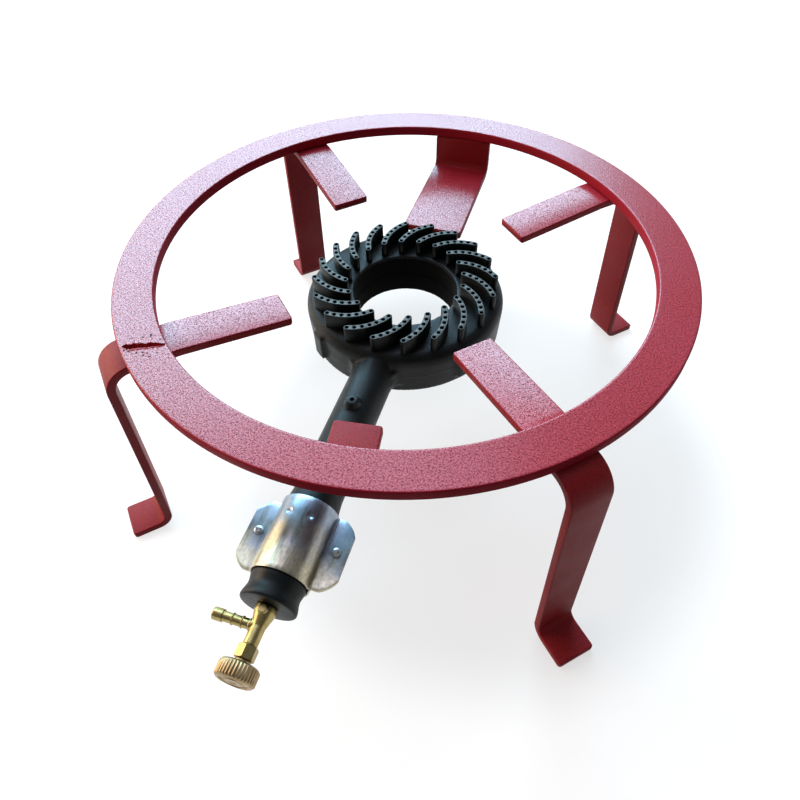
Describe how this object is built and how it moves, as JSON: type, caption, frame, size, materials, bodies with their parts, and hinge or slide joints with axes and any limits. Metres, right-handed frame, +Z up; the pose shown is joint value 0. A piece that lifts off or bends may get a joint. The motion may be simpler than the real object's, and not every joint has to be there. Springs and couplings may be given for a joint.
{
  "type": "propane burner stand",
  "caption": "Low round steel stand with a pot ring on bent legs, carrying a cast ring burner with an air sleeve, needle valve, hose barb and knurled knob.",
  "frame": {"origin": "middle of the footprint, on the floor", "axes": "+Z up; -Y along the burner tube towards the knob; +X to the right when the knob faces the viewer"},
  "size_m": [0.416, 0.5074, 0.19],
  "materials": {
    "red_paint": "glossy red wrinkle powder coat",
    "black_iron": "satin black paint on rough castings, bare on the blade tops",
    "zinc_sheet": "bright galvanised sheet",
    "zinc_plate": "zinc plated",
    "brass": "machined",
    "knob_brass": "tumbled, coppery",
    "packing": "plain white"
  },
  "bodies": {
    "stand": {"pot_ring": "red_paint", "leg_front_left": "red_paint", "leg_front_right": "red_paint", "leg_rear_left": "red_paint", "leg_rear_right": "red_paint", "rear_strap": "red_paint", "front_tab": "red_paint", "tube_hook": "red_paint", "burner_casting": "black_iron", "mixing_head": "black_iron", "burner_stud": "zinc_plate", "burner_washer": "zinc_plate", "burner_nut": "zinc_plate", "valve_body": "brass", "hose_barb": "brass", "bonnet_nut": "brass", "gas_jet": "brass", "stem_packing": "packing"},
    "air_sleeve": {"air_sleeve_upper": "zinc_sheet", "air_sleeve_lower": "zinc_sheet", "sleeve_rivet_left": "zinc_plate", "sleeve_rivet_right": "zinc_plate"},
    "needle": {"needle_stem": "zinc_plate"},
    "knob": {"valve_knob": "knob_brass"}
  },
  "joints": [
    {"name": "air_sleeve_slide", "type": "slide", "parent": "stand", "child": "air_sleeve", "axis": [0, 1, 0], "range_m": [0, 0.018]},
    {"name": "stem_travel", "type": "slide", "parent": "stand", "child": "needle", "axis": [0, -1, 0], "range_m": [0, 0.0015]},
    {"name": "knob_turn", "type": "hinge", "parent": "needle", "child": "knob", "pos_m": [0, -0.249, 0.1328], "axis": [0, -1, 0], "range_deg": [0, 540]}
  ],
  "couplings": [
    {"joint": "knob_turn", "follows": "stem_travel", "rad_per_m": 6283.2}
  ]
}
